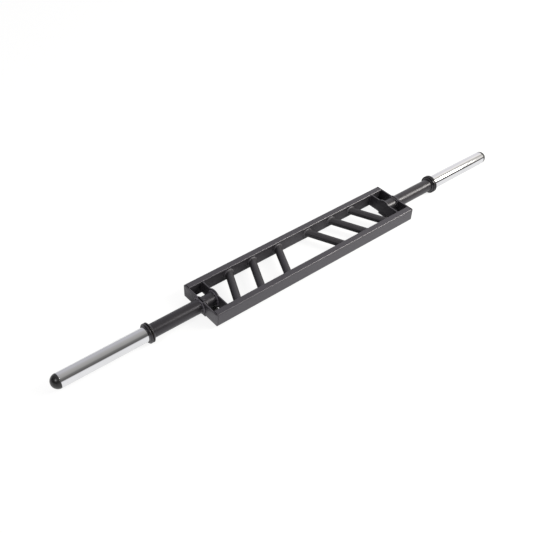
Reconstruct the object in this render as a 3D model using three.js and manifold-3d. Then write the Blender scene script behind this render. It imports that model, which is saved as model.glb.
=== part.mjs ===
// A swiss bar: a multi-grip barbell. Two rectangular-tube rails and four cross plates make a flat ladder
// frame with six angled grips in it. A neck tube at each end carries a spindle, and a loading sleeve turns
// on the spindle. Millimetres. X runs along the bar, the front rail is at -Y, and Z is up. The origin is the
// middle of the frame, on the axis that both sleeves turn about.
import * as THREE from "three";
import { mergeVertices } from "three/addons/utils/BufferGeometryUtils.js";
import Module from "manifold-3d";

const wasm = await Module();
wasm.setup();

// Clearances: pieces welded or pressed together, a shaft turning in its bush, and faces that turn past
// each other.
const fixedFit = 0.1;
const runningFit = 0.02;
const runningGap = 0.3;

// Sleeve, from the spindle outwards. The outside is the 50 mm that loading plates are bored for.
const spindleDiameter = 30;
const bushWall = 5;
const bushLength = 30;
const sleeveWall = 5;
const sleeveLength = 310;
const sleeveChamfer = 0.8;

// Neck tube, from the spindle outwards: the ring that centres the spindle, then a 48.3 mm tube.
const spindleRingWall = 5.15;
const spindleRingLength = 12;
const spindleInsertion = 150;
const spindleChamfer = 1;
const neckWall = 4;
const neckReach = 198;
const neckWeld = 5;

// Flanges, a fixed one on the neck and a turning one on the sleeve, with a thrust washer between them.
const flangeStep = 9.5;
const flangeChamfer = 0.6;
const neckFlangeWidth = 4;
const neckFlangeWeb = 5.5;
const neckFlangeFace = 5;
const neckFlangeLip = 1.75;
const neckFlangeCone = 6;
const sleeveFlangeRim = 5.5;
const sleeveFlangeNose = 3;
const sleeveFlangeNoseDrop = 3.5;
const thrustWasherWidth = 7;
const thrustWasherThickness = 2.4;

// Sleeve retention: a washer and an M12 bolt on the spindle's end, behind the domed plug.
const endWasherThickness = 4;
const endWasherClearance = 1;
const boltDiameter = 12;
const boltGrip = 25;
const boltHeadAcross = 18;
const boltHeadHeight = 7.5;
const boltHoleRunOut = 5;
const drillPointDepth = 3.5;
const capRoom = 8.5;
const capSpigotLength = 14;
const capWall = 3;

// Grips: tubes set at an angle between the rails, in mirrored sets of three.
const gripDiameter = 28;
const gripWall = 3;
const gripWeld = 3;
const gripAngle = THREE.MathUtils.degToRad(25);
const innerGripPlace = 102;
const middleGripPitch = 116;
const outerGripPitch = 102;

// Frame: the rails, the end plates that close them and the inner plates that the necks butt against.
const frameWidth = 185;
const railThickness = 25;
const railWall = 2.5;
const railInnerRadius = 1.5;
const neckLand = 0.85;
const outerGripToPlate = 76.5;
const innerPlateThickness = 5;
const endBay = 50;
const endPlateThickness = 6;
const eyeLand = 10;
const eyeFillet = 4;
const plateWeld = 3;

// Facets: how finely round shapes are divided.
const roundFacets = 32;
const gripFacets = 24;
const boltFacets = 24;
const cornerSteps = 5;
const eyeSteps = 10;
const domeSteps = 6;
const hollowSteps = 3;
const hexSides = 6;
const quarterTurn = Math.PI / 2;

// Sizes that follow from the ones above.
const spindleRadius = spindleDiameter / 2;
const neckBoreRadius = spindleRadius + spindleRingWall;
const neckRadius = neckBoreRadius + neckWall;
const sleeveBoreRadius = spindleRadius + bushWall;
const sleeveRadius = sleeveBoreRadius + sleeveWall;
const flangeRadius = sleeveRadius + flangeStep;
const boltRadius = boltDiameter / 2;
const gripRadius = gripDiameter / 2;
const railHeight = 2 * (neckRadius + neckLand);
const railCornerRadius = railInnerRadius + railWall;
const clearWidth = frameWidth - 2 * railThickness;
const eyeRadius = neckRadius + eyeLand;

// Places along X on the right half.
const middleGripPlace = innerGripPlace + middleGripPitch;
const outerGripPlace = middleGripPlace + outerGripPitch;
const innerPlateStart = outerGripPlace + outerGripToPlate;
const innerPlateEnd = innerPlateStart + innerPlateThickness;
const railEnd = innerPlateEnd + endBay;
const frameEnd = railEnd + endPlateThickness;
const neckFace = frameEnd + neckReach;
const neckTubeEnd = neckFace - neckFlangeWeb;
const sleeveStart = neckFace + thrustWasherThickness + 2 * runningGap;
const sleeveEnd = sleeveStart + sleeveLength;
const spindleStart = neckFace - spindleInsertion;
const boltHeadEnd = sleeveEnd - capSpigotLength - capRoom;
const endWasherEnd = boltHeadEnd - boltHeadHeight;
const spindleEnd = endWasherEnd - endWasherThickness;

// Materials.
const framePaint = new THREE.MeshStandardMaterial({ color: 0x48464a, roughness: 0.42, metalness: 0.35 });
const gripPaint = new THREE.MeshStandardMaterial({ color: 0x3b393d, roughness: 0.62, metalness: 0.2 });
const flangePaint = new THREE.MeshStandardMaterial({ color: 0x2b2a2d, roughness: 0.4, metalness: 0.3 });
const chrome = new THREE.MeshStandardMaterial({ color: 0xd9d9dc, roughness: 0.08, metalness: 1 });
const bareSteel = new THREE.MeshStandardMaterial({ color: 0x9b9a98, roughness: 0.35, metalness: 1 });
const bronze = new THREE.MeshStandardMaterial({ color: 0xa9793f, roughness: 0.4, metalness: 1 });
const zinc = new THREE.MeshStandardMaterial({ color: 0xb9bcc0, roughness: 0.3, metalness: 1 });
const capPlastic = new THREE.MeshStandardMaterial({ color: 0x161518, roughness: 0.45, metalness: 0 });

// A mesh with its name and material.
function piece(name, geometry, material) {
  const mesh = new THREE.Mesh(geometry, material);
  mesh.name = name;
  return mesh;
}

// A closed geometry as a solid that can be joined and cut.
function solid(geometry) {
  const bare = geometry.clone();
  bare.deleteAttribute("normal");
  bare.deleteAttribute("uv");
  const merged = mergeVertices(bare);
  return new wasm.Manifold(
    new wasm.Mesh({
      numProp: 3,
      vertProperties: merged.attributes.position.array,
      triVerts: new Uint32Array(merged.index.array),
    }),
  );
}

// The geometry of a solid that was joined or cut.
function geometryOf(manifold) {
  const mesh = manifold.getMesh();
  const geometry = new THREE.BufferGeometry();
  geometry.setAttribute("position", new THREE.BufferAttribute(mesh.vertProperties, 3));
  geometry.setIndex(new THREE.BufferAttribute(mesh.triVerts, 1));
  geometry.computeVertexNormals();
  return geometry;
}

// A shape turned about Y. The profile lists [along, radius] points, up the outside and back down the
// bore. It starts and ends on the axis, or else closes on itself.
function lathe(profile, facets) {
  const points = profile.map(([along, radius]) => new THREE.Vector2(radius, along));
  if (points[0].x > 0) points.push(points[0].clone());
  return new THREE.LatheGeometry(points, facets);
}

// The same shape turned about X, listed towards +X and back.
function turned(profile, facets = roundFacets) {
  return lathe(profile, facets).rotateZ(-quarterTurn);
}

// The profile of a plain ring.
function ring(start, end, boreRadius, outerRadius) {
  return [[start, outerRadius], [end, outerRadius], [end, boreRadius], [start, boreRadius]];
}

// The corner radius of a many-sided bore whose flats clear a shaft of the given radius at any angle.
function runningBore(radius) {
  return (radius + runningFit) / Math.cos(Math.PI / roundFacets);
}

// Points on an arc about (centreX, centreY), both ends included.
function arc(centreX, centreY, radius, from, to, steps) {
  return Array.from({ length: steps + 1 }, (_, i) => {
    const angle = from + ((to - from) * i) / steps;
    return new THREE.Vector2(centreX + radius * Math.cos(angle), centreY + radius * Math.sin(angle));
  });
}

// The outline of a rectangle with round corners, anticlockwise about its middle.
function roundedRectangle(width, height, radius) {
  const corners = [[1, 1], [-1, 1], [-1, -1], [1, -1]];
  return corners.flatMap(([side, top], quarter) =>
    arc(
      side * (width / 2 - radius),
      top * (height / 2 - radius),
      radius,
      quarter * quarterTurn,
      (quarter + 1) * quarterTurn,
      cornerSteps,
    ),
  );
}

// A section drawn in Y and Z and carried along X.
function alongX(shape, start, length) {
  const carried = new THREE.ExtrudeGeometry(shape, { depth: length, bevelEnabled: false });
  const yAxis = new THREE.Vector3(0, 1, 0);
  const zAxis = new THREE.Vector3(0, 0, 1);
  const xAxis = new THREE.Vector3(1, 0, 0);
  return carried.applyMatrix4(new THREE.Matrix4().makeBasis(yAxis, zAxis, xAxis)).translate(start, 0, 0);
}

// A rail: rectangular steel tube with drawn round corners, open at both ends.
function railGeometry(side) {
  const section = new THREE.Shape(roundedRectangle(railThickness, railHeight, railCornerRadius));
  const bore = roundedRectangle(railThickness - 2 * railWall, railHeight - 2 * railWall, railInnerRadius);
  section.holes.push(new THREE.Path(bore));
  const middle = (side * (clearWidth + railThickness)) / 2;
  return alongX(section, -railEnd, 2 * railEnd).translate(0, middle, 0);
}

// An end plate: it caps both rails and is bored for the neck tube.
function endPlateGeometry() {
  const outline = new THREE.Shape(roundedRectangle(frameWidth, railHeight, railCornerRadius));
  const bore = arc(0, 0, neckRadius + fixedFit, 0, 4 * quarterTurn, roundFacets).slice(0, -1);
  outline.holes.push(new THREE.Path(bore));
  return alongX(outline, railEnd, endPlateThickness);
}

// The upper edge of an inner plate, from right to left: a shoulder level with the rails, a fillet up to
// the round eye that backs the neck tube, and the same down again. Each fillet circle touches the shoulder
// and the eye from outside.
function eyeEdge() {
  const shoulder = railHeight / 2;
  const filletHeight = shoulder + eyeFillet;
  const filletPlace = Math.sqrt((eyeRadius + eyeFillet) ** 2 - filletHeight ** 2);
  const meet = Math.atan2(filletHeight, filletPlace);
  return [
    new THREE.Vector2(clearWidth / 2, shoulder),
    ...arc(filletPlace, filletHeight, eyeFillet, -quarterTurn, meet - 2 * quarterTurn, cornerSteps),
    ...arc(0, 0, eyeRadius, meet, 2 * quarterTurn - meet, eyeSteps).slice(1, -1),
    ...arc(-filletPlace, filletHeight, eyeFillet, -meet, -quarterTurn, cornerSteps),
    new THREE.Vector2(-clearWidth / 2, shoulder),
  ];
}

// An upright weld in the corner between an inner plate's face and a rail: a prism with two equal legs.
function cornerWeld(face, outward, side) {
  const rail = (side * clearWidth) / 2;
  const toe = face + outward * plateWeld;
  const heel = face - (outward * innerPlateThickness) / 2;
  const section = [
    new THREE.Vector2(heel, rail),
    new THREE.Vector2(toe, rail),
    new THREE.Vector2(face, rail - side * plateWeld),
    new THREE.Vector2(heel, rail - side * plateWeld),
  ];
  const height = railHeight - 2 * railCornerRadius;
  const prism = new THREE.ExtrudeGeometry(new THREE.Shape(section), { depth: height, bevelEnabled: false });
  return solid(prism.translate(0, 0, -height / 2));
}

// An inner plate: a cross plate between the rails, with an eye above and below and its corner welds.
function innerPlateGeometry() {
  const upper = eyeEdge();
  const lower = upper.map((point) => point.clone().negate());
  let plate = solid(alongX(new THREE.Shape([...upper, ...lower]), innerPlateStart, innerPlateThickness));
  for (const side of [-1, 1]) {
    plate = plate.add(cornerWeld(innerPlateStart, -1, side));
    plate = plate.add(cornerWeld(innerPlateEnd, 1, side));
  }
  return geometryOf(plate);
}

// A grip: a tube that leans between the rails and is mitred flush with both, with a weld flare at each
// end. Turned about Y, it is widened and leaned over, because a plane parallel to the rails cuts a leaning
// round tube in an ellipse.
function gripGeometry(place) {
  const half = clearWidth / 2;
  const geometry = lathe(
    [
      [-half, gripRadius + gripWeld],
      [-half + gripWeld, gripRadius],
      [half - gripWeld, gripRadius],
      [half, gripRadius + gripWeld],
      [half, gripRadius - gripWall],
      [-half, gripRadius - gripWall],
    ],
    gripFacets,
  );
  const widen = 1 / Math.cos(gripAngle);
  const lean = -Math.sign(place) * Math.tan(gripAngle);
  const shape = new THREE.Matrix4();
  shape.set(widen, lean, 0, place, 0, 1, 0, 0, 0, 0, 1, 0, 0, 0, 0, 1);
  return geometry.applyMatrix4(shape);
}

// A weld bead round the neck tube: its flat side lies on a plate's face, and it slopes down to the tube.
function neckBead(face, outward) {
  const toe = face + outward * neckWeld;
  const root = neckRadius - neckWall / 2;
  const profile = [[face, neckRadius + neckWeld], [toe, neckRadius], [toe, root], [face, root]];
  return solid(turned(outward > 0 ? profile : profile.reverse()));
}

// A neck tube: it butts against the inner plate, passes through the end plate and ends in the flange. The
// beads on the end plate stop at that plate's upper and lower edges.
function neckTubeGeometry() {
  const tube = solid(turned(ring(innerPlateEnd, neckTubeEnd, neckBoreRadius, neckRadius)));
  const plateHigh = solid(new THREE.BoxGeometry(2 * neckFace, frameWidth, railHeight));
  const plateBeads = neckBead(railEnd, -1).add(neckBead(frameEnd, 1)).intersect(plateHigh);
  return geometryOf(tube.add(neckBead(innerPlateEnd, 1)).add(plateBeads));
}

// The neck flange: a turned ring bored out over the neck tube's end, with a web that holds the spindle. A
// short cone runs from the tube up to its flat inboard face.
function neckFlangeGeometry() {
  const rimStart = neckFace - neckFlangeWidth;
  const coneStart = rimStart - neckFlangeCone;
  return turned([
    [coneStart, neckRadius + fixedFit + neckFlangeLip],
    [rimStart, flangeRadius - neckFlangeFace],
    [rimStart, flangeRadius - flangeChamfer],
    [rimStart + flangeChamfer, flangeRadius],
    [neckFace - flangeChamfer, flangeRadius],
    [neckFace, flangeRadius - flangeChamfer],
    [neckFace, spindleRadius + fixedFit],
    [neckTubeEnd, spindleRadius + fixedFit],
    [neckTubeEnd, neckRadius + fixedFit],
    [coneStart, neckRadius + fixedFit],
  ]);
}

// The spindle: a bar with chamfered ends, drilled for the retaining bolt.
function spindleGeometry() {
  const holeRadius = boltRadius + fixedFit;
  const holeEnd = spindleEnd - boltGrip - boltHoleRunOut;
  return turned([
    [spindleStart, 0],
    [spindleStart, spindleRadius - spindleChamfer],
    [spindleStart + spindleChamfer, spindleRadius],
    [spindleEnd - spindleChamfer, spindleRadius],
    [spindleEnd, spindleRadius - spindleChamfer],
    [spindleEnd, holeRadius],
    [holeEnd, holeRadius],
    [holeEnd - drillPointDepth, 0],
  ]);
}

// The ring that centres the spindle's inner end in the neck tube.
function spindleRingGeometry() {
  const end = spindleStart + spindleRingLength;
  return turned(ring(spindleStart, end, spindleRadius + fixedFit, neckBoreRadius - fixedFit));
}

// The thrust washer between the two flanges.
function thrustWasherGeometry() {
  const start = neckFace + runningGap;
  const outer = spindleRadius + thrustWasherWidth;
  return turned(ring(start, start + thrustWasherThickness, runningBore(spindleRadius), outer));
}

// The sleeve: a plain tube, chamfered outside where its plug seats.
function sleeveGeometry() {
  return turned([
    [sleeveStart, sleeveRadius],
    [sleeveEnd - sleeveChamfer, sleeveRadius],
    [sleeveEnd, sleeveRadius - sleeveChamfer],
    [sleeveEnd, sleeveBoreRadius],
    [sleeveStart, sleeveBoreRadius],
  ]);
}

// The sleeve flange: a ring pressed on the sleeve's inner end, where loading plates stop.
function sleeveFlangeGeometry() {
  const rimEnd = sleeveStart + sleeveFlangeRim;
  const end = rimEnd + sleeveFlangeNose;
  return turned([
    [sleeveStart, flangeRadius - flangeChamfer],
    [sleeveStart + flangeChamfer, flangeRadius],
    [rimEnd, flangeRadius],
    [end, flangeRadius - sleeveFlangeNoseDrop],
    [end, sleeveRadius + fixedFit],
    [sleeveStart, sleeveRadius + fixedFit],
  ]);
}

// A bush: pressed in the sleeve's bore, running on the spindle.
function bushGeometry(start) {
  return turned(ring(start, start + bushLength, runningBore(spindleRadius), sleeveBoreRadius - fixedFit));
}

// The washer that keeps the sleeve on: wider than the spindle, narrower than the sleeve's bore.
function endWasherGeometry() {
  const outer = sleeveBoreRadius - endWasherClearance;
  return turned(ring(spindleEnd, endWasherEnd, boltRadius + fixedFit, outer));
}

// The retaining bolt: a hexagon head on a round shank.
function endBoltGeometry() {
  const cornerRadius = boltHeadAcross / 2 / Math.cos(Math.PI / hexSides);
  const headProfile = [
    [endWasherEnd, 0],
    [endWasherEnd, cornerRadius],
    [boltHeadEnd, cornerRadius],
    [boltHeadEnd, 0],
  ];
  const head = turned(headProfile, hexSides);
  const tip = spindleEnd - boltGrip;
  const shankEnd = endWasherEnd + boltHeadHeight / 2;
  const shank = turned([[tip, 0], [tip, boltRadius], [shankEnd, boltRadius], [shankEnd, 0]], boltFacets);
  return geometryOf(solid(head).add(solid(shank)));
}

// The end cap: a moulded plug with a hollow spigot in the sleeve's bore and a half-ball dome as wide as
// the sleeve.
function endCapGeometry() {
  const spigotStart = sleeveEnd - capSpigotLength;
  const spigotRadius = sleeveBoreRadius - fixedFit;
  const innerDomeRadius = sleeveRadius - capWall;
  const hollowRadius = spigotRadius - capWall;
  const hollowAngle = Math.asin(hollowRadius / innerDomeRadius);
  const outerDome = arc(sleeveEnd, 0, sleeveRadius, quarterTurn, 0, domeSteps);
  const innerDome = arc(sleeveEnd, 0, innerDomeRadius, 0, hollowAngle, hollowSteps);
  outerDome[domeSteps].y = 0;
  return turned([
    ...innerDome.map((point) => point.toArray()),
    [spigotStart, hollowRadius],
    [spigotStart, spigotRadius],
    [sleeveEnd, spigotRadius],
    ...outerDome.map((point) => point.toArray()),
  ]);
}

// The fixed pieces at one end of the frame, built for the right and turned about Z for the left.
function fixedEnd(name) {
  const end = new THREE.Group();
  end.add(piece(name + "_end_plate", endPlateGeometry(), framePaint));
  end.add(piece(name + "_inner_plate", innerPlateGeometry(), framePaint));
  end.add(piece(name + "_neck_tube", neckTubeGeometry(), framePaint));
  end.add(piece(name + "_neck_flange", neckFlangeGeometry(), flangePaint));
  end.add(piece(name + "_spindle", spindleGeometry(), bareSteel));
  end.add(piece(name + "_spindle_ring", spindleRingGeometry(), bareSteel));
  end.add(piece(name + "_thrust_washer", thrustWasherGeometry(), bronze));
  end.add(piece(name + "_end_washer", endWasherGeometry(), zinc));
  end.add(piece(name + "_end_bolt", endBoltGeometry(), zinc));
  return end;
}

// The pieces that turn together on one spindle.
function turningSleeve(name) {
  const sleeve = new THREE.Group();
  sleeve.add(piece(name + "_sleeve", sleeveGeometry(), chrome));
  sleeve.add(piece(name + "_sleeve_flange", sleeveFlangeGeometry(), flangePaint));
  sleeve.add(piece(name + "_inner_bush", bushGeometry(sleeveStart), bronze));
  sleeve.add(piece(name + "_outer_bush", bushGeometry(spindleEnd - runningGap - bushLength), bronze));
  sleeve.add(piece(name + "_end_cap", endCapGeometry(), capPlastic));
  return sleeve;
}

const bar = new THREE.Group();
bar.add(piece("front_rail", railGeometry(-1), framePaint));
bar.add(piece("rear_rail", railGeometry(1), framePaint));

const gripPlaces = { inner: innerGripPlace, middle: middleGripPlace, outer: outerGripPlace };
for (const [set, place] of Object.entries(gripPlaces)) {
  bar.add(piece("left_" + set + "_grip", gripGeometry(-place), gripPaint));
  bar.add(piece("right_" + set + "_grip", gripGeometry(place), gripPaint));
}

for (const [name, turn] of [["left", Math.PI], ["right", 0]]) {
  const half = new THREE.Group();
  half.add(fixedEnd(name));
  half.add(turningSleeve(name));
  half.rotation.z = turn;
  bar.add(half);
}

export default bar;
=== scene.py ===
import math

import bmesh
import bpy
import numpy as np
from mathutils import Matrix, Vector


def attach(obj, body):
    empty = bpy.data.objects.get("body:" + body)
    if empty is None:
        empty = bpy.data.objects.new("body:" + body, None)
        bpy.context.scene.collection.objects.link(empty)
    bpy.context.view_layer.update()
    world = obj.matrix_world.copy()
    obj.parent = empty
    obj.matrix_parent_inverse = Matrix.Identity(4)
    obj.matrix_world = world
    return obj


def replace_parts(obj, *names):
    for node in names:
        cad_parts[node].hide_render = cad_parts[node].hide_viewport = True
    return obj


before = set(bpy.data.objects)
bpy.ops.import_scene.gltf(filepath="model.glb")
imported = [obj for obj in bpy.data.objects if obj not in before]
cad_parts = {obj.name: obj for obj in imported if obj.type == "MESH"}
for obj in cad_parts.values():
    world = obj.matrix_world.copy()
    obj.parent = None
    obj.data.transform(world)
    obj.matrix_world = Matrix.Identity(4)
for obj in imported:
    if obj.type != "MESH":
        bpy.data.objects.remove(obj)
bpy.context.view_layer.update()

# The camera stands at the front left, above the frame, with a normal lens. Azimuth is turned from the -Y
# side towards +X, roll is about the line of sight, and the pan moves the camera across that line.
camera_azimuth = math.radians(-40.521)
camera_elevation = math.radians(41.502)
camera_roll = math.radians(1.745)
camera_distance = 2.7055
camera_pan = (-0.1352, -0.0634)
camera_lens = 51.408
camera_sensor = 36.0

sight_back = Vector((
    math.sin(camera_azimuth) * math.cos(camera_elevation),
    -math.cos(camera_azimuth) * math.cos(camera_elevation),
    math.sin(camera_elevation),
))
level_right = Vector((math.cos(camera_azimuth), math.sin(camera_azimuth), 0))
level_up = sight_back.cross(level_right)
camera_right = math.cos(camera_roll) * level_right + math.sin(camera_roll) * level_up
camera_up = math.cos(camera_roll) * level_up - math.sin(camera_roll) * level_right
camera_place = sight_back * camera_distance + level_right * camera_pan[0] + level_up * camera_pan[1]

camera = bpy.data.objects.new("camera", bpy.data.cameras.new("camera"))
camera.data.sensor_fit = "HORIZONTAL"
camera.data.sensor_width = camera_sensor
camera.data.lens = camera_lens
camera_turn = Matrix((camera_right, camera_up, sight_back)).transposed().to_4x4()
camera.matrix_world = Matrix.Translation(camera_place) @ camera_turn
bpy.context.collection.objects.link(camera)
bpy.context.scene.camera = camera

# The floor is white paper, just under the collars. To the camera it is lifted to white with a faint shadow,
# but not under the necks between the plates: there a painted shadow is left, as hardly any light gets in.
# Off gloss or through glass it is white with a painted shadow, taken by ambient occlusion towards a low
# front where no lamp stands, and to all other light it is plain.
floor_height = -0.0346
floor_half = 30.0
paper_white = 0.45
camera_lift = 0.86
camera_shadow = 0.22
# The painted shadow under each neck: its middle along X, its half length and width, and the share where it
# fades.
under_neck_middle = 0.4265
under_neck_half_length = 0.030
under_neck_half_width = 0.024
under_neck_edge = 0.93
mirror_white = 1.03
shade_towards = (-0.35, -0.87, 0.34)
shade_reach = 0.30
shade_full_share = 0.53
shade_none_share = 0.91
shade_samples = 8


def node(tree, kind, **settings):
    """A shader node with some of its settings made."""
    made = tree.nodes.new(kind)
    for name, value in settings.items():
        setattr(made, name, value)
    return made


def join(tree, start, end):
    """Links an output socket to an input socket."""
    tree.links.new(start, end)


def maths(tree, operation, first, second=None):
    """A Math node on two inputs, each a socket or a number, and its output."""
    made = node(tree, "ShaderNodeMath", operation=operation)
    for slot, value in enumerate((first, second)):
        if isinstance(value, bpy.types.NodeSocket):
            join(tree, value, made.inputs[slot])
        elif value is not None:
            made.inputs[slot].default_value = value
    return made.outputs[0]


def lifted_paper(tree):
    """A diffuse layer that holds the shadow, over a glow that lifts it to white. The glow is left out in a
    rectangle under each neck, a painted shadow, and comes back near its rim, by the greater of a point's
    shares of the half length and the half width."""
    layer = node(tree, "ShaderNodeBsdfDiffuse")
    layer.inputs["Color"].default_value = (camera_shadow, camera_shadow, camera_shadow, 1)
    place = node(tree, "ShaderNodeSeparateXYZ")
    join(tree, node(tree, "ShaderNodeTexCoord").outputs["Object"], place.inputs[0])
    out = maths(tree, "SUBTRACT", maths(tree, "ABSOLUTE", place.outputs["X"]), under_neck_middle)
    along = maths(tree, "DIVIDE", maths(tree, "ABSOLUTE", out), under_neck_half_length)
    across = maths(tree, "DIVIDE", maths(tree, "ABSOLUTE", place.outputs["Y"]), under_neck_half_width)
    lift = node(tree, "ShaderNodeMapRange", interpolation_type="SMOOTHSTEP")
    join(tree, maths(tree, "MAXIMUM", along, across), lift.inputs["Value"])
    lift.inputs["From Min"].default_value = under_neck_edge
    lift.inputs["To Max"].default_value = camera_lift
    glow = node(tree, "ShaderNodeEmission")
    join(tree, lift.outputs["Result"], glow.inputs["Strength"])
    lifted = node(tree, "ShaderNodeAddShader")
    join(tree, layer.outputs[0], lifted.inputs[0])
    join(tree, glow.outputs[0], lifted.inputs[1])
    return lifted.outputs[0]


def shaded_paper(tree):
    """A white glow with a painted shadow, by ambient occlusion towards a low front where no lamp stands."""
    towards = node(tree, "ShaderNodeCombineXYZ")
    for axis, value in zip("XYZ", shade_towards):
        towards.inputs[axis].default_value = value
    hidden = node(tree, "ShaderNodeAmbientOcclusion", samples=shade_samples)
    hidden.inputs["Distance"].default_value = shade_reach
    join(tree, towards.outputs[0], hidden.inputs["Normal"])
    white = node(tree, "ShaderNodeMapRange")
    join(tree, hidden.outputs["AO"], white.inputs["Value"])
    white.inputs["From Min"].default_value = shade_full_share
    white.inputs["From Max"].default_value = shade_none_share
    white.inputs["To Max"].default_value = mirror_white
    glow = node(tree, "ShaderNodeEmission")
    join(tree, white.outputs["Result"], glow.inputs["Strength"])
    return glow.outputs[0]


def chosen(tree, factor, first, second):
    """The second of two shaders where the factor is one, and otherwise the first."""
    choice = node(tree, "ShaderNodeMixShader")
    join(tree, factor, choice.inputs["Fac"])
    join(tree, first, choice.inputs[1])
    join(tree, second, choice.inputs[2])
    return choice.outputs[0]


def paper_material():
    """Plain paper, with shaded paper for rays off gloss or through glass, and lifted paper for the
    camera's own."""
    material = bpy.data.materials.new("floor_paper")
    material.use_nodes = True
    tree = material.node_tree
    tree.nodes.clear()
    path = node(tree, "ShaderNodeLightPath")
    plain = node(tree, "ShaderNodeBsdfDiffuse")
    plain.inputs["Color"].default_value = (paper_white, paper_white, paper_white, 1)
    mirrored = maths(tree, "MAXIMUM", path.outputs["Is Glossy Ray"], path.outputs["Is Transmission Ray"])
    paper = chosen(tree, mirrored, plain.outputs[0], shaded_paper(tree))
    paper = chosen(tree, path.outputs["Is Camera Ray"], paper, lifted_paper(tree))
    join(tree, paper, node(tree, "ShaderNodeOutputMaterial").inputs["Surface"])
    return material


floor_mesh = bpy.data.meshes.new("floor")
floor_corners = [(-1, -1), (1, -1), (1, 1), (-1, 1)]
floor_mesh.from_pydata([(x * floor_half, y * floor_half, floor_height) for x, y in floor_corners], [],
                       [(0, 1, 2, 3)])
floor_mesh.materials.append(paper_material())
floor = bpy.data.objects.new("floor", floor_mesh)
bpy.context.collection.objects.link(floor)

# A dome of white cloth over the floor gives the soft light. How bright it is depends on the direction only:
# the sweep angle goes from the horizon behind (0) over the top to the horizon in front (1), and the cloth is
# darker on the camera's own side than towards +X, and darkest far to the left. Chrome shows this as bands.
cloth_radius = 15.0
dome_around = 96
dome_high = 24
dome_foot = -0.02
dome_top = 0.499 * math.pi
dim_side = [(0.0, 0.52), (0.1, 0.65), (0.27, 0.63), (0.4, 0.53), (0.5, 0.48), (0.64, 0.40), (0.72, 0.23),
            (0.80, 0.17), (0.905, 0.13), (0.955, 0.83), (1.0, 1.05)]
light_side = [(0.0, 1.0), (0.15, 0.95), (0.27, 0.97), (0.38, 1.12), (0.47, 1.05), (0.557, 0.54), (0.63, 0.72),
              (0.71, 0.98), (0.85, 1.0), (0.90, 0.04), (0.985, 0.04), (1.0, 0.9)]
light_tint = (1.0, 0.985, 0.96)
dim_until = 0.42
light_from = 0.72
left_end_share = 0.25
left_until = -0.65
left_from = -0.10
cloth_tints = [(0.0, (0.975, 0.975, 1.04)), (0.28, (0.98, 0.98, 1.025)), (0.48, (1.0, 0.985, 0.96)),
               (0.9, (1.0, 0.985, 0.965)), (1.0, (0.98, 0.98, 1.02))]


def ramp(tree, factor, stops):
    """A ramp through the given stops, each a place and a grey or a colour."""
    made = node(tree, "ShaderNodeValToRGB")
    made.color_ramp.interpolation = "LINEAR"
    while len(made.color_ramp.elements) < len(stops):
        made.color_ramp.elements.new(1)
    for element, (place, colour) in zip(made.color_ramp.elements, stops):
        element.position = place
        element.color = (*np.broadcast_to(colour, 3).tolist(), 1)
    join(tree, factor, made.inputs["Fac"])
    return made.outputs["Color"]


def dome_material():
    """Glowing cloth: one ramp over the sweep angle for the dim side, one for the light side, mixed by X."""
    material = bpy.data.materials.new("dome_cloth")
    material.use_nodes = True
    tree = material.node_tree
    tree.nodes.clear()
    direction = node(tree, "ShaderNodeVectorMath", operation="NORMALIZE")
    join(tree, node(tree, "ShaderNodeTexCoord").outputs["Object"], direction.inputs[0])
    parts = node(tree, "ShaderNodeSeparateXYZ")
    join(tree, direction.outputs[0], parts.inputs[0])
    height = maths(tree, "MAXIMUM", parts.outputs["Z"], 0)
    sweep = maths(tree, "DIVIDE", maths(tree, "ARCTAN2", height, parts.outputs["Y"]), math.pi)
    side = node(tree, "ShaderNodeMapRange", interpolation_type="SMOOTHSTEP")
    join(tree, parts.outputs["X"], side.inputs["Value"])
    side.inputs["From Min"].default_value = dim_until
    side.inputs["From Max"].default_value = light_from
    mixed = node(tree, "ShaderNodeMix", data_type="RGBA")
    join(tree, side.outputs["Result"], mixed.inputs["Factor"])
    join(tree, ramp(tree, sweep, dim_side), mixed.inputs["A"])
    warmed = [(place, np.multiply(grey, light_tint)) for place, grey in light_side]
    join(tree, ramp(tree, sweep, warmed), mixed.inputs["B"])
    tint = node(tree, "ShaderNodeMix", data_type="RGBA", blend_type="MULTIPLY")
    tint.inputs["Factor"].default_value = 1
    join(tree, mixed.outputs["Result"], tint.inputs["A"])
    join(tree, ramp(tree, sweep, cloth_tints), tint.inputs["B"])
    falloff = node(tree, "ShaderNodeMapRange", interpolation_type="SMOOTHSTEP")
    join(tree, parts.outputs["X"], falloff.inputs["Value"])
    falloff.inputs["From Min"].default_value = left_until
    falloff.inputs["From Max"].default_value = left_from
    falloff.inputs["To Min"].default_value = left_end_share
    glow = node(tree, "ShaderNodeEmission")
    join(tree, tint.outputs["Result"], glow.inputs["Color"])
    join(tree, falloff.outputs["Result"], glow.inputs["Strength"])
    join(tree, glow.outputs[0], node(tree, "ShaderNodeOutputMaterial").inputs["Surface"])
    # The cloth is all round, so that rays find it without being aimed at it.
    material.cycles.emission_sampling = "NONE"
    return material


def dome_cloth():
    """Half a sphere, from just under the floor to the top. Over the angle round Z and the angle of rise, a
    point's distance from Z is the cosine of the rise, and its height the sine."""
    heading, rise = np.meshgrid(np.linspace(0, 2 * np.pi, dome_around, endpoint=False),
                                np.linspace(dome_foot, dome_top, dome_high), indexing="ij")
    out = np.cos(rise)
    points = cloth_radius * np.stack([out * np.cos(heading), out * np.sin(heading), np.sin(rise)], axis=-1)
    index = np.arange(dome_around * dome_high).reshape(dome_around, dome_high)
    after = np.roll(index, -1, axis=0)
    quads = np.stack([index[:, :-1], index[:, 1:], after[:, 1:], after[:, :-1]], axis=-1).reshape(-1, 4)
    mesh = bpy.data.meshes.new("dome")
    mesh.from_pydata(points.reshape(-1, 3).tolist(), [], [*quads.tolist(), index[::-1, -1].tolist()])
    mesh.materials.append(dome_material())
    return bpy.data.objects.new("dome", mesh)


dome = dome_cloth()
dome.visible_camera = False
bpy.context.collection.objects.link(dome)

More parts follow.
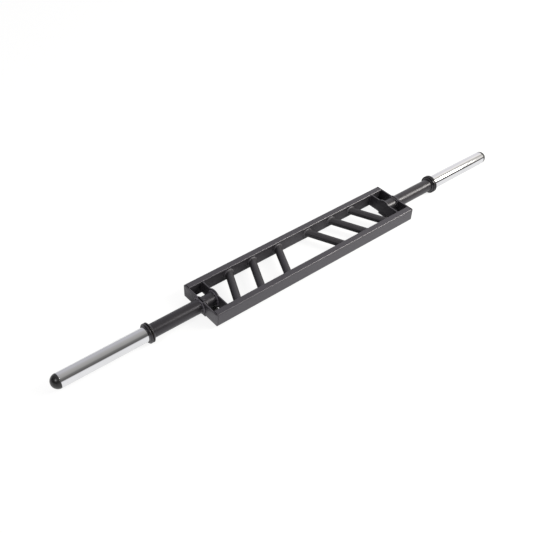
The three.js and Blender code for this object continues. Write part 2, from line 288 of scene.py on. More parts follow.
# Only the camera sees past the cloth, into a white room.
world = bpy.data.worlds.new("white_room")
world.use_nodes = True
world.node_tree.nodes["Background"].inputs["Color"].default_value = (1, 1, 1, 1)
bpy.context.scene.world = world
bpy.context.scene.view_settings.view_transform = "Standard"

# Three softboxes. The long one in front on the right is level with the bar and makes the soft highlight on
# the right neck, and a small one in the middle does so on the left. The one on the left is seen in the left
# cap and picks out the weld beads.


def softbox(name, place, aim, length, width, power, colour=(1, 1, 1)):
    """An area lamp that points from its place to what it is aimed at, its length kept level."""
    lamp = bpy.data.objects.new(name, bpy.data.lights.new(name, "AREA"))
    lamp.data.shape = "RECTANGLE"
    lamp.data.size = length
    lamp.data.size_y = width
    lamp.data.energy = power
    lamp.data.color = colour
    lamp.location = place
    lamp.rotation_euler = (Vector(place) - Vector(aim)).to_track_quat("Z", "Y").to_euler()
    bpy.context.collection.objects.link(lamp)


softbox("right_softbox", place=(2.1, -1.50, 1.70), aim=(2.1, 0, 0), length=2.0, width=1.0, power=88,
        colour=(1.0, 1.0, 0.90))
softbox("middle_softbox", place=(0.68, -1.38, 1.62), aim=(-0.45, 0, 0), length=0.6, width=0.6, power=5.5)
softbox("left_softbox", place=(-2.47, -0.55, 1.95), aim=(-0.9, 0, 0), length=0.5, width=0.5, power=18)

# The rails: two lengths of 50 x 25 mm steel tube with drawn round corners, cut square, and powder coated
# with the rest of the frame after welding.
rail_half_length = 0.4515
rail_middle = 0.080
rail_half_width = 0.0125
rail_half_height = 0.025
rail_corner = 0.004
rail_wall = 0.0025
rail_bore_corner = rail_corner - rail_wall
rail_rings = 33
rail_step = math.radians(15)
rail_rub_highlight_reach = 0.7
corner_points = 9
angle_digits = 6
tiny = 1e-9
same_point = 1e-7
coat_charcoal = (0.031, 0.0285, 0.0335)
coat_roughness = 0.38
coat_refraction = 1.72
coat_gloss_tint = (0.96, 0.92, 1.0, 1)
coat_peel_height = 0.00012
coat_peel_size = 0.0022
coat_speck_size = 0.0006
coat_speck_range = (0.62, 0.75)
coat_speck_share = 1.7
coat_peel_to_speck = 6
coat_cloud_size = 0.06
coat_cloud_tone = 0.07
coat_cloud_gloss = 0.04
coat_rub_highlight_size = 0.012
coat_rub_highlight_least = 0.65
coat_rub_highlight_share = 1.5
coat_rub_gloss = 0.08


def corner_angles(half_width, half_height, radius, step):
    """Angles about the middle of a rectangle with round corners: an even spread, and the ends and points
    of each corner arc, so that the arcs stay round."""
    even = np.arange(0, 2 * np.pi, step)
    swing = np.linspace(0, np.pi / 2, corner_points)
    dense = []
    for quarter, (side, top) in enumerate([(1, 1), (-1, 1), (-1, -1), (1, -1)]):
        across = side * (half_width - radius) + radius * np.cos(swing + quarter * np.pi / 2)
        up = top * (half_height - radius) + radius * np.sin(swing + quarter * np.pi / 2)
        dense.append(np.arctan2(up, across) % (2 * np.pi))
    return np.unique(np.round(np.concatenate([even, *dense]), angle_digits))


def box_reach(angle, half_width, half_height, radius):
    """How far a rectangle with round corners reaches from its middle at each angle: to the nearer side,
    or, past the end of that side's straight part, to the corner's circle."""
    across = np.abs(np.cos(angle))
    up = np.abs(np.sin(angle))
    reach = np.minimum(half_width / np.maximum(across, tiny), half_height / np.maximum(up, tiny))
    corner_across = half_width - radius
    corner_up = half_height - radius
    along = corner_across * across + corner_up * up
    inside = along**2 - (corner_across**2 + corner_up**2 - radius**2)
    arc = along + np.sqrt(np.maximum(inside, 0))
    in_corner = (reach * across > corner_across) & (reach * up > corner_up)
    return np.where(in_corner, arc, reach)


def shell(name, rings, material, wrap, edge=None, crease=35):
    """A closed mesh from rings of points, an array of (ring, place round it, XYZ). Each ring is joined to
    the next by quads. With wrap the last ring is joined to the first, as on a tube with a bore, and
    otherwise the first and last rings are single points. Faces are turned outwards by the sign of the
    volume that they enclose."""
    rings = np.asarray(rings, dtype=float)
    count, around = rings.shape[:2]
    first = np.arange(count if wrap else count - 1)
    second = (first + 1) % count
    here = np.arange(around)
    there = (here + 1) % around
    quads = np.stack([
        first[:, None] * around + here,
        first[:, None] * around + there,
        second[:, None] * around + there,
        second[:, None] * around + here,
    ], axis=-1).reshape(-1, 4)
    points = rings.reshape(-1, 3)
    corners = points[quads]
    volume = np.einsum("ij,ij->i", corners[:, 0], np.cross(corners[:, 1], corners[:, 2])).sum()
    volume += np.einsum("ij,ij->i", corners[:, 0], np.cross(corners[:, 2], corners[:, 3])).sum()
    if volume < 0:
        quads = quads[:, ::-1]
    mesh = bpy.data.meshes.new(name)
    mesh.from_pydata(points.tolist(), [], quads.tolist())
    wear = mesh.attributes.new("edge", "FLOAT", "POINT")
    wear.data.foreach_set("value", np.zeros(len(points)) if edge is None else edge.reshape(-1))
    merge_doubles(mesh)
    mesh.materials.append(material)
    mesh.shade_smooth()
    mesh.set_sharp_from_angle(angle=math.radians(crease))
    piece = bpy.data.objects.new(name, mesh)
    bpy.context.collection.objects.link(piece)
    return piece


def merge_doubles(mesh):
    """Joins the points that lie on each other at a pole."""
    work = bmesh.new()
    work.from_mesh(mesh)
    bmesh.ops.remove_doubles(work, verts=work.verts, dist=same_point)
    work.to_mesh(mesh)
    work.free()


def surface(name):
    """A new material with its Principled shader, its node tree and its Object coordinates."""
    material = bpy.data.materials.new(name)
    material.use_nodes = True
    tree = material.node_tree
    shader = tree.nodes["Principled BSDF"]
    place = node(tree, "ShaderNodeTexCoord").outputs["Object"]
    return material, tree, shader, place


def noise(tree, place, size, detail=2.0, stretch=None):
    """Noise with features of about the given size in metres, drawn out by the stretch along each axis."""
    if stretch:
        mapping = node(tree, "ShaderNodeMapping")
        join(tree, place, mapping.inputs["Vector"])
        mapping.inputs["Scale"].default_value = [1 / length for length in stretch]
        place = mapping.outputs["Vector"]
    made = node(tree, "ShaderNodeTexNoise")
    join(tree, place, made.inputs["Vector"])
    made.inputs["Scale"].default_value = 1 / size
    made.inputs["Detail"].default_value = detail
    return made.outputs["Fac"]


def spread(tree, value, low, high, start=0.3, end=0.7):
    """A value between start and end carried over to low to high, and held there outside."""
    made = node(tree, "ShaderNodeMapRange")
    join(tree, value, made.inputs["Value"])
    made.inputs["From Min"].default_value = start
    made.inputs["From Max"].default_value = end
    made.inputs["To Min"].default_value = low
    made.inputs["To Max"].default_value = high
    return made.outputs["Result"]


def shade(tree, factor, first, second):
    """A colour mixed from two others, each a socket or a colour."""
    made = node(tree, "ShaderNodeMix", data_type="RGBA")
    join(tree, factor, made.inputs["Factor"])
    for name, colour in (("A", first), ("B", second)):
        if isinstance(colour, bpy.types.NodeSocket):
            join(tree, colour, made.inputs[name])
        else:
            made.inputs[name].default_value = (*colour, 1)
    return made.outputs["Result"]


def bump(tree, height, distance, below=None):
    """A Bump node for a height of the given distance in metres, laid over another."""
    made = node(tree, "ShaderNodeBump")
    made.inputs["Distance"].default_value = distance
    join(tree, height, made.inputs["Height"])
    if below is not None:
        join(tree, below, made.inputs["Normal"])
    return made.outputs["Normal"]


def tinted(colour, share):
    """A colour made lighter or darker by a share of itself."""
    return tuple(min(channel * share, 1.0) for channel in colour)


def powder_coat(name, colour, roughness, peel_height, refraction=coat_refraction, rub_highlight_share=coat_rub_highlight_share):
    """Powder coat: an orange-peel skin 2 mm across, faint clouds of gloss and tone, fine metallic specks,
    and a thinner, lighter and smoother coat in patches along the edges and weld beads, its lighter tone
    partly wear and partly a painted highlight."""
    material, tree, shader, place = surface(name)
    clouds = noise(tree, place, coat_cloud_size, detail=3)
    specks = noise(tree, place, coat_speck_size, detail=1)
    edge = node(tree, "ShaderNodeAttribute", attribute_name="edge").outputs["Fac"]
    patches = spread(tree, noise(tree, place, coat_rub_highlight_size, detail=4), coat_rub_highlight_least, 1)
    worn_and_highlit = maths(tree, "MULTIPLY", edge, patches)
    dark = tinted(colour, 1 - coat_cloud_tone)
    light = tinted(colour, 1 + coat_cloud_tone)
    tone = shade(tree, spread(tree, clouds, 0, 1), dark, light)
    tone = shade(tree, spread(tree, specks, 0, 1, *coat_speck_range), tone, tinted(colour, coat_speck_share))
    # The lighter tone on edges and beads: partly wear, partly a painted highlight.
    tone = shade(tree, worn_and_highlit, tone, tinted(colour, rub_highlight_share))
    join(tree, tone, shader.inputs["Base Color"])
    gloss = spread(tree, clouds, roughness - coat_cloud_gloss, roughness + coat_cloud_gloss)
    gloss = maths(tree, "SUBTRACT", gloss, maths(tree, "MULTIPLY", worn_and_highlit, coat_rub_gloss))
    join(tree, gloss, shader.inputs["Roughness"])
    skin = bump(tree, noise(tree, place, coat_peel_size, detail=1.5), peel_height)
    join(tree, bump(tree, specks, peel_height / coat_peel_to_speck, below=skin), shader.inputs["Normal"])
    shader.inputs["IOR"].default_value = refraction
    shader.inputs["Specular Tint"].default_value = coat_gloss_tint
    return material


frame_coat = powder_coat("frame_powder_coat", coat_charcoal, coat_roughness, coat_peel_height)


def rail(name, side):
    """The section's outside from end to end, and back along the bore: rings of one section in a loop. The
    coat is worn lighter, partly as a painted highlight, where a point is nearer to both sides' planes than
    a share of the corner's radius."""
    angle = corner_angles(rail_half_width, rail_half_height, rail_corner, rail_step)

    def ring(x, corner, half_width=rail_half_width, half_height=rail_half_height):
        reach = box_reach(angle, half_width, half_height, corner)
        return np.stack([np.full_like(angle, x), side * rail_middle + reach * np.cos(angle),
                         reach * np.sin(angle)], axis=-1)

    end = rail_half_length
    bore = {"corner": rail_bore_corner, "half_width": rail_half_width - rail_wall,
            "half_height": rail_half_height - rail_wall}
    rings = [ring(x, rail_corner) for x in np.linspace(-end, end, rail_rings)]
    rings += [ring(end, **bore), ring(-end, **bore)]
    reach = box_reach(angle, rail_half_width, rail_half_height, rail_corner)
    near_side = reach * np.abs(np.cos(angle)) > rail_half_width - rail_corner * rail_rub_highlight_reach
    near_top = reach * np.abs(np.sin(angle)) > rail_half_height - rail_corner * rail_rub_highlight_reach
    edge = np.tile((near_side & near_top).astype(float), (len(rings), 1))
    edge[-2:] = 0
    piece = shell(name, rings, frame_coat, wrap=True, edge=edge)
    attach(piece, "frame")
    return piece


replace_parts(rail("rail_tube_front", -1), "front_rail")
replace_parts(rail("rail_tube_rear", 1), "rear_rail")

# The end plates: 6 mm steel, as wide and as high as the frame, so that they close the ends of both rails.
# Their edges are ground round and bevelled inboard over the rails, so that a groove is left along each rail's
# end, and the middle is bored for the neck tube.
end_plate_inner = rail_half_length
end_plate_thickness = 0.006
end_plate_half_width = rail_middle + rail_half_width
end_plate_half_height = rail_half_height
end_plate_corner = rail_corner
end_plate_edge = 0.0011
neck_bore = 0.02425
end_plate_step = math.radians(4)
end_plate_rub_highlight = 0.6
edge_steps = 4
bevel_width = 0.0032
bevel_depth = 0.0028
clear_half_width = rail_middle - rail_half_width


def end_plate(name, side):
    """Rings from the bore's rim outwards over one face, round the ground edge and back over the other
    face. Each ring is a rectangle with round corners, and the bore is a circle at the same angles. Towards
    the inboard face the rings are lowered by the bevel where the plate lies on a rail's end."""
    angle = corner_angles(end_plate_half_width, end_plate_half_height, end_plate_corner, end_plate_step)
    inner = end_plate_inner
    outer = end_plate_inner + end_plate_thickness

    def ring(x, reach):
        return np.stack([np.full_like(angle, side * x), reach * np.cos(angle), reach * np.sin(angle)],
                        axis=-1)

    def bevelled_share(x, y):
        on_rail = np.clip(1 - (clear_half_width - np.abs(y)) / bevel_width, 0, 1)
        return max(0.0, 1 - (x - inner) / bevel_width) * on_rail

    def outline(x, inset):
        made = ring(x, box_reach(angle, end_plate_half_width - inset, end_plate_half_height - inset,
                                 end_plate_corner - inset))
        made[:, 2] *= 1 - bevel_depth / end_plate_half_height * bevelled_share(x, made[:, 1])
        return made

    turn_in = np.linspace(0, np.pi / 2, edge_steps + 1)
    inset = end_plate_edge * (1 - np.cos(turn_in))
    rise = end_plate_edge * (1 - np.sin(turn_in))
    bore = np.full_like(angle, neck_bore)
    rings = [ring(outer, bore)]
    rings += [outline(outer - depth, back) for depth, back in zip(rise[::-1], inset[::-1])]
    rings += [outline(inner + bevel_width, 0)]
    rings += [outline(inner + depth, back) for depth, back in zip(rise, inset)]
    rings += [ring(inner, bore)]
    edge = np.zeros((len(rings), len(angle)))
    # The ground edge takes the coat's lighter edge tone: partly wear, partly a painted highlight.
    edge[2:edge_steps + 1] = end_plate_rub_highlight
    piece = shell(name, rings, frame_coat, wrap=True, edge=edge)
    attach(piece, "frame")
    return piece


sides = {"left": -1, "right": 1}
for side_name, side in sides.items():
    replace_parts(end_plate("end_plate_ground_" + side_name, side), side_name + "_end_plate")

# The inner plates: 5 mm steel between the rails, cut with a round eye above and below that backs the neck
# tube, and welded to both rails down their corners.
inner_plate_near = 0.3965
inner_plate_thickness = 0.005
inner_plate_edge = 0.0007
inner_plate_step = math.radians(30)
eye_radius = 0.03415
eye_fillet = 0.004
eye_span = 0.0255
eye_steps = 61
shoulder_start = 0.026
shoulder_steps = 6


def eye_outline(y):
    """The half height of an inner plate at each Y: the shoulder, a fillet circle that touches both the
    shoulder and the eye, and the eye's circle."""
    rise = rail_half_height + eye_fillet
    fillet_place = math.sqrt((eye_radius + eye_fillet) ** 2 - rise**2)
    touch = fillet_place * eye_radius / (eye_radius + eye_fillet)
    out = np.abs(y)
    eye = np.sqrt(np.maximum(eye_radius**2 - out**2, 0))
    fillet = rise - np.sqrt(np.maximum(eye_fillet**2 - (out - fillet_place) ** 2, 0))
    height = np.where(out < touch, eye, fillet)
    return np.where(out > fillet_place, rail_half_height, height)


def inner_plate(name, side):
    """A rectangle with round edges, 5 mm thick, carried along Y. Its upper and lower quarters are moved out
    by the height of the outline there above the shoulder."""
    shoulder = np.linspace(shoulder_start, clear_half_width, shoulder_steps)
    y = np.concatenate([-shoulder[::-1], np.linspace(-eye_span, eye_span, eye_steps), shoulder])
    half = inner_plate_thickness / 2
    middle = side * (inner_plate_near + half)
    angle = corner_angles(half, rail_half_height, inner_plate_edge, inner_plate_step)
    reach = box_reach(angle, half, rail_half_height, inner_plate_edge)
    z = reach * np.sin(angle)
    moved = np.sign(z) * (np.abs(z) > rail_half_height / 2)
    rise = eye_outline(y) - rail_half_height
    rings = np.stack([np.tile(middle + reach * np.cos(angle), (len(y), 1)),
                      np.repeat(y[:, None], len(angle), axis=1),
                      z + rise[:, None] * moved], axis=-1)
    tip = np.zeros((len(angle), 3))
    start = tip + (middle, -clear_half_width, 0)
    end = tip + (middle, clear_half_width, 0)
    piece = shell(name, [start, *rings, end], frame_coat, wrap=False)
    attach(piece, "frame")
    return piece


for side_name, side in sides.items():
    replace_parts(inner_plate("inner_plate_cut_" + side_name, side), side_name + "_inner_plate")

# The corner welds of the inner plates: one upright bead in each corner between a plate's face and a rail,
# laid from the bottom to the top in small overlapping ripples.
corner_bead_leg = 0.003
corner_bead_rings = 141
corner_bead_stop = 0.6
corner_bead_tip = 0.05
corner_bead_root = 0.2
ripple_pitch = 0.0022
ripple_height = 0.00035
ripple_level = 0.6
bead_sides = 10


def ripple(distance):
    """The ripple of a weld bead: round humps with sharp valleys, one for each pitch, from the size of a sine
    less its mean level."""
    return ripple_height * (np.abs(np.sin(np.pi * distance / ripple_pitch)) - ripple_level)


def corner_bead(name, side, face, outward, rail_side):
    """A quarter round in the corner, its radius rippled along Z, with both ends drawn to a point. Its hidden
    sides lie a share of the radius inside the steel."""
    top = rail_half_height - rail_corner * corner_bead_stop
    z = np.linspace(-top, top, corner_bead_rings)
    swell = np.sqrt(np.clip((top - np.abs(z)) / corner_bead_leg, 0, 1))
    radius = (corner_bead_leg + ripple(z)) * np.maximum(swell, corner_bead_tip)
    angle = np.linspace(0, 2 * np.pi, bead_sides, endpoint=False)
    x = side * face + outward * side * radius[:, None] * np.maximum(np.cos(angle), -corner_bead_root)
    y = rail_side * (clear_half_width - radius[:, None] * np.maximum(np.sin(angle), -corner_bead_root))
    rings = np.stack([x, y, np.repeat(z[:, None], bead_sides, axis=1)], axis=-1)
    tips = [np.repeat(rings[end].mean(axis=0)[None], bead_sides, axis=0) for end in (0, -1)]
    piece = shell(name, [tips[0], *rings, tips[1]], frame_coat, wrap=False, crease=60)
    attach(piece, "frame")


for side_name, side in sides.items():
    for rail_name, rail_side in (("front", -1), ("rear", 1)):
        near = inner_plate_near
        far = inner_plate_near + inner_plate_thickness
        corner_bead(f"corner_weld_{side_name}_{rail_name}_inboard", side, near, -1, rail_side)
        corner_bead(f"corner_weld_{side_name}_{rail_name}_outboard", side, far, 1, rail_side)

# The grips: six lengths of 28 mm steel tube, mitred at 25 degrees and welded all round to the rails. They
# have a coarser powder coat than the frame, for the hands.
grip_radius = 0.014
grip_wall = 0.003
grip_angle = math.radians(25)
grip_places = {"inner": 0.102, "middle": 0.218, "outer": 0.320}
grip_rings = 21
grip_around = 96
grip_bead = 0.0040
grip_bead_wave = 0.10
bead_steps = 9
bead_room = 0.008
grip_colour = (0.015, 0.0142, 0.0158)
grip_roughness = 0.56
grip_peel_height = 0.0003
# The beads take the coat's lighter edge tone many times over: a painted highlight on the welds.
grip_bead_highlight_share = 9
grip_coat = powder_coat("grip_powder_coat", grip_colour, grip_roughness, grip_peel_height,
                        rub_highlight_share=grip_bead_highlight_share)


def grip(name, place):
    """A round tube along Y, widened and leaned over so that both ends lie in the rails' faces. Its
    radius grows into a rippled bead at each end: a quarter round added to the tube."""
    half = clear_half_width
    bead = np.sin(np.linspace(0, np.pi / 2, bead_steps)) * grip_bead
    between = np.linspace(-half + bead_room, half - bead_room, grip_rings)
    y = np.concatenate([-half + bead, between, half - bead[::-1]])
    angle = np.linspace(0, 2 * np.pi, grip_around, endpoint=False)
    waves = 1 + grip_bead_wave * ripple(angle * grip_radius)[None, :] / ripple_height
    distance = (half - np.abs(y))[:, None]
    radius = grip_radius + np.sqrt(np.maximum((grip_bead * waves) ** 2 - distance**2, 0))
    bore = np.full((1, grip_around), grip_radius - grip_wall)
    y = np.concatenate([y, [half, -half]])
    radius = np.concatenate([radius, bore, bore])
    lean = -math.copysign(math.tan(grip_angle), place)
    # Where the bead stands out, the painted highlight of the weld lies.
    on_bead = np.clip((radius - grip_radius) / grip_bead, 0, 1)
    x = place + radius * np.cos(angle) / math.cos(grip_angle) + lean * y[:, None]
    z = radius * np.sin(angle)
    rings = np.stack([x, np.repeat(y[:, None], grip_around, axis=1), z], axis=-1)
    piece = shell(name, rings, grip_coat, wrap=True, edge=on_bead, crease=50)
    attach(piece, "frame")
    return piece


for set_name, place in grip_places.items():
    for side_name, side in sides.items():
        made = grip(f"grip_tube_{side_name}_{set_name}", side * place)
        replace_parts(made, f"{side_name}_{set_name}_grip")

# The necks: 48.3 mm steel tube that butts against the inner plate, passes through the end plate and is
# welded to both, in beads with a slow weave. Those on the end plate run out at its upper and lower edges.
neck_radius = 0.02415
neck_wall = 0.004
neck_start = inner_plate_near + inner_plate_thickness
neck_end = 0.6500
neck_rings = 24
neck_bay_rings = 8
neck_around = 160
neck_bead = 0.0055
neck_bead_wave = 0.14
# The beads take the coat's lighter edge tone many times over: a painted highlight on the welds.
neck_bead_highlight_gain = 1.4
weave_count = 11
weave_share = 0.12
# The necks' coat is the frame's charcoal made darker: painted shade, as round tubes look darker than flat
# rails.
neck_shaded_colour = tinted(coat_charcoal, 0.6)
neck_roughness = 0.34
neck_refraction = 1.55
neck_peel_height = 0.00005
neck_bead_highlight_share = 7
neck_coat = powder_coat("neck_powder_coat", neck_shaded_colour, neck_roughness, neck_peel_height, neck_refraction,
                        neck_bead_highlight_share)


def bead_swell(distance, leg):
    """How far a bead stands out of the tube at a distance from the plate's face: a quarter circle about
    the corner, whose radius is the leg."""
    return np.sqrt(np.maximum(leg**2 - distance**2, 0))


def neck_tube(name, side):
    """A tube about X, with a bead where it meets each plate's face. A bead's height is its leg or what
    the plate leaves there, whichever is less. The beads carry a painted highlight, except the one on the
    end plate's inboard face, which lies in shade."""
    outer_face = end_plate_inner + end_plate_thickness
    fine = np.sin(np.linspace(0, np.pi / 2, bead_steps)) * neck_bead
    x = np.concatenate([
        neck_start + fine,
        np.linspace(neck_start + bead_room, end_plate_inner - bead_room, neck_bay_rings),
        end_plate_inner - fine[::-1],
        outer_face + fine,
        np.linspace(outer_face + bead_room, neck_end, neck_rings),
    ])
    angle = np.linspace(0, 2 * np.pi, neck_around, endpoint=False)
    waves = 1 + neck_bead_wave * ripple(angle * neck_radius)[None, :] / ripple_height
    waves = waves + weave_share * np.sin(weave_count * angle)[None, :]
    plate_room = end_plate_half_height / np.maximum(np.abs(np.sin(angle)), tiny) - neck_radius
    inner_bead = bead_swell((x - neck_start)[:, None], neck_bead * waves)
    plate_distance = np.where(x <= end_plate_inner, end_plate_inner - x, np.abs(x - outer_face))
    plate_bead = np.minimum(bead_swell(plate_distance[:, None], neck_bead * waves), plate_room)
    radius = neck_radius + np.maximum(inner_bead, plate_bead)
    on_bead = np.clip((radius - neck_radius) / neck_bead * neck_bead_highlight_gain, 0, 1)
    # No painted highlight on the bead at the end plate's inboard face, which lies in shade.
    on_bead[np.abs(x - end_plate_inner) < bead_room] = 0
    bore = np.full((1, neck_around), neck_radius - neck_wall)
    x = np.concatenate([x, [neck_end, neck_start]])
    radius = np.concatenate([radius, bore, bore])
    on_bead = np.concatenate([on_bead, np.zeros_like(bore), np.zeros_like(bore)])
    rings = np.stack([side * np.repeat(x[:, None], neck_around, axis=1),
                      radius * np.cos(angle), radius * np.sin(angle)], axis=-1)
    piece = shell(name, rings, neck_coat, wrap=True, edge=on_bead, crease=50)
    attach(piece, "frame")
    return piece


for side_name, side in sides.items():
    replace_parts(neck_tube("neck_tube_welded_" + side_name, side), side_name + "_neck_tube")

# The collars: a fixed steel flange turned in one piece with its cone and shrunk on the neck's end, a bronze
# thrust washer, and a steel flange of the same diameter on the sleeve. Both flanges are coated black.
flange_radius = 0.0345
flange_edge = 0.0006
flange_around = 128
rounding_steps = 4
neck_socket = 0.0243
spindle_hole = 0.0151
cone_start = 0.6455
cone_end = 0.6515
cone_small = 0.0260
cone_large = 0.0295
neck_flange_end = 0.6555
sleeve_start = 0.6585
sleeve_seat = 0.0251
sleeve_flange_rim = 0.6640
sleeve_flange_end = 0.6670
sleeve_flange_face = 0.0310
flange_black = (0.012, 0.0115, 0.0125)
flange_roughness = 0.30
flange_peel_height = 0.00008
flange_refraction = 1.6
flange_coat = powder_coat("flange_powder_coat", flange_black, flange_roughness, flange_peel_height,
                          flange_refraction)


def rounded(profile, radius):
    """A profile of (along, radius) points with its marked corners rounded. A corner is marked by a third
    value of 1, and becomes the curve that leaves one side and joins the other at the given distance."""
    points = []
    count = len(profile)
    for place, (along, out, round_it) in enumerate(profile):
        here = np.array([along, out])
        if not round_it:
            points.append(here)
            continue
        before = np.array(profile[(place - 1) % count][:2]) - here
        after = np.array(profile[(place + 1) % count][:2]) - here
        start = here + before / np.linalg.norm(before) * radius
        end = here + after / np.linalg.norm(after) * radius
        for share in np.linspace(0, 1, rounding_steps + 1):
            points.append((1 - share) ** 2 * start + 2 * share * (1 - share) * here + share**2 * end)
    return np.array(points)


def turned(name, side, profile, material, body, wrap=True, around=flange_around):
    """A profile of (along, radius) points turned about the bar's axis, riding on a body."""
    angle = np.linspace(0, 2 * np.pi, around, endpoint=False)
    along = np.repeat(side * profile[:, :1], around, axis=1)
    out = profile[:, 1:]
    rings = np.stack([along, out * np.cos(angle), out * np.sin(angle)], axis=-1)
    piece = shell(name, rings, material, wrap=wrap)
    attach(piece, body)
    return piece


neck_flange_profile = rounded([
    (cone_start, neck_socket, 0), (cone_start, cone_small, 1), (cone_end, cone_large, 0),
    (cone_end, flange_radius, 1), (neck_flange_end, flange_radius, 1), (neck_flange_end, spindle_hole, 0),
    (neck_end, spindle_hole, 0), (neck_end, neck_socket, 0),
], flange_edge)
sleeve_flange_profile = rounded([
    (sleeve_start, sleeve_seat, 0), (sleeve_start, flange_radius, 1), (sleeve_flange_rim, flange_radius, 1),
    (sleeve_flange_end, sleeve_flange_face, 1), (sleeve_flange_end, sleeve_seat, 0),
], flange_edge)
for side_name, side in sides.items():
    made = turned("neck_flange_turned_" + side_name, side, neck_flange_profile, flange_coat, "frame")
    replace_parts(made, side_name + "_neck_flange")
    body = side_name + "_sleeve_body"
    made = turned("sleeve_flange_turned_" + side_name, side, sleeve_flange_profile, flange_coat, body)
    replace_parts(made, side_name + "_sleeve_flange")

# The loading sleeves: 50 mm steel tube that turns on bushes round the spindle, with its outer edge rounded.
# It is polished and hard chromed, and loading plates leave faint lines along it.
sleeve_end = 0.9685
sleeve_radius = 0.025
sleeve_bore = 0.020
sleeve_edge = 0.0009
sleeve_stations = (0.7, 0.8, 0.9)
sleeve_around = 192
chrome_grey = (0.74, 0.74, 0.755)
chrome_tones = (0.97, 1.02)
chrome_cloud_size = 0.05
chrome_cloud_gloss = (0.05, 0.10)
chrome_line_size = 0.0009
chrome_line_stretch = (90, 1, 1)
chrome_line_gloss = 0.09
chrome_line_range = (0.55, 0.8)
chrome_line_height = 0.000001


def chrome_plate():
    """Polished chrome: faint lines along the sleeve, and slow clouds in the polish."""
    material, tree, shader, place = surface("hard_chrome")
    lines = noise(tree, place, chrome_line_size, detail=3, stretch=chrome_line_stretch)
    clouds = noise(tree, place, chrome_cloud_size, detail=2)
    shader.inputs["Metallic"].default_value = 1
    dark, light = [tinted(chrome_grey, share) for share in chrome_tones]
    join(tree, shade(tree, spread(tree, clouds, 0, 1), dark, light), shader.inputs["Base Color"])
    scuffs = spread(tree, lines, 0, chrome_line_gloss, *chrome_line_range)
    polish = maths(tree, "ADD", scuffs, spread(tree, clouds, *chrome_cloud_gloss))
    join(tree, polish, shader.inputs["Roughness"])
    join(tree, bump(tree, lines, chrome_line_height), shader.inputs["Normal"])
    return material


hard_chrome = chrome_plate()
sleeve_profile = rounded([
    (sleeve_start, sleeve_bore, 0), (sleeve_start, sleeve_radius, 0),
    *[(station, sleeve_radius, 0) for station in sleeve_stations],
    (sleeve_end, sleeve_radius, 1), (sleeve_end, sleeve_bore, 0),
], sleeve_edge)
for side_name, side in sides.items():
    body = side_name + "_sleeve_body"
    made = turned("sleeve_chromed_" + side_name, side, sleeve_profile, hard_chrome, body,
                  around=sleeve_around)
    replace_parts(made, side_name + "_sleeve")

# The end caps: plugs of black plastic, each moulded as a half-ball dome over a hollow spigot. The spigot is
# pressed in the sleeve's end until the dome's rim meets it, and a fine groove shows between them.
cap_start = 0.9545
cap_bore = 0.0169
cap_spigot = 0.0199
cap_lip = 0.0006
cap_hollow_foot = 0.003
cap_hollow_shoulder = 0.008
cap_hollow_radius = 0.012
cap_hollow_top = 0.012
cap_steps = 25
cap_black = (0.014, 0.0135, 0.0145)
cap_tones = (0.85, 1.3)
cap_roughness = (0.28, 0.38)
cap_cloud_size = 0.015
cap_grain_size = 0.0005
cap_grain_height = 0.00002


def moulded_plastic():
    """Black moulded plastic: a fine spark-eroded grain and faint flow clouds."""
    material, tree, shader, place = surface("moulded_cap_plastic")
    grain = noise(tree, place, cap_grain_size, detail=2)
    clouds = noise(tree, place, cap_cloud_size, detail=3)
    dark, light = [tinted(cap_black, share) for share in cap_tones]
    join(tree, shade(tree, spread(tree, clouds, 0, 1), dark, light), shader.inputs["Base Color"])
    join(tree, spread(tree, clouds, *cap_roughness), shader.inputs["Roughness"])
    join(tree, bump(tree, grain, cap_grain_height), shader.inputs["Normal"])
    return material


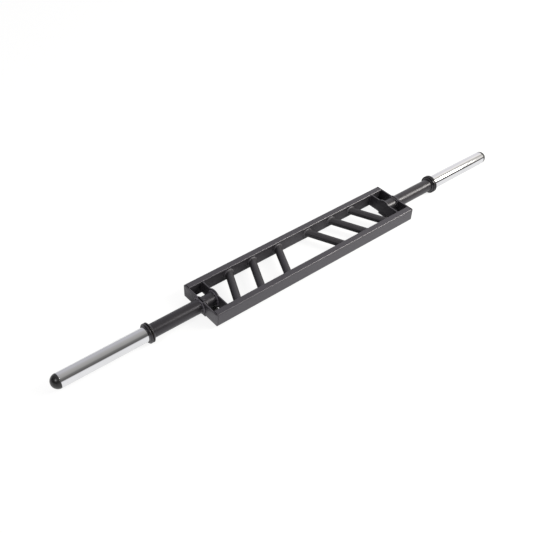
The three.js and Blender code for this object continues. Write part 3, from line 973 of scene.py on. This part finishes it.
cap_plastic = moulded_plastic()
cap_rim = sleeve_radius - cap_lip
cap_angles = np.linspace(0, np.pi / 2, cap_steps)[1:-1]
cap_profile = np.array([
    (sleeve_end + cap_hollow_top, 0.0), (sleeve_end + cap_hollow_shoulder, cap_hollow_radius),
    (sleeve_end - cap_hollow_foot, cap_bore), (cap_start, cap_bore), (cap_start, cap_spigot),
    (sleeve_end, cap_spigot), (sleeve_end, cap_rim),
    *zip(sleeve_end + sleeve_radius * np.sin(cap_angles), sleeve_radius * np.cos(cap_angles)),
    (sleeve_end + sleeve_radius, 0.0),
])
for side_name, side in sides.items():
    body = side_name + "_sleeve_body"
    made = turned("cap_moulded_" + side_name, side, cap_profile, cap_plastic, body, wrap=False)
    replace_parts(made, side_name + "_end_cap")

# Inside, carried over from the CAD model: a turned spindle and its centring ring, oiled bronze bushes and
# thrust washers, and a zinc plated washer and bolt at each spindle's end.
tool_line_stretch = (1, 60, 60)
tool_line_gloss = (-0.06, 0.08)
tool_line_height = 0.00001
metal_cloud_size = 0.02
metal_tones = (0.9, 1.08)


def turned_metal(name, colour, roughness, line_size):
    """Bare turned metal: fine tool lines round the bar's axis."""
    material, tree, shader, place = surface(name)
    lines = noise(tree, place, line_size, detail=3, stretch=tool_line_stretch)
    clouds = noise(tree, place, metal_cloud_size, detail=2)
    shader.inputs["Metallic"].default_value = 1
    dark, light = [tinted(colour, share) for share in metal_tones]
    join(tree, shade(tree, spread(tree, clouds, 0, 1), dark, light), shader.inputs["Base Color"])
    smooth, rough = [roughness + change for change in tool_line_gloss]
    join(tree, spread(tree, lines, smooth, rough), shader.inputs["Roughness"])
    join(tree, bump(tree, lines, tool_line_height), shader.inputs["Normal"])
    return material


turned_steel = turned_metal("turned_steel", colour=(0.5, 0.49, 0.48), roughness=0.32, line_size=0.0004)
oiled_bronze = turned_metal("oiled_bronze", colour=(0.42, 0.25, 0.09), roughness=0.35, line_size=0.0004)
zinc_plate = turned_metal("zinc_plate", colour=(0.62, 0.64, 0.66), roughness=0.3, line_size=0.0006)
inside_finishes = [
    (turned_steel, ["spindle", "spindle_ring"]),
    (oiled_bronze, ["thrust_washer", "inner_bush", "outer_bush"]),
    (zinc_plate, ["end_washer", "end_bolt"]),
]
for side_name in sides:
    for finish, names in inside_finishes:
        for name in names:
            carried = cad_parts[f"{side_name}_{name}"]
            carried.data.materials.clear()
            carried.data.materials.append(finish)
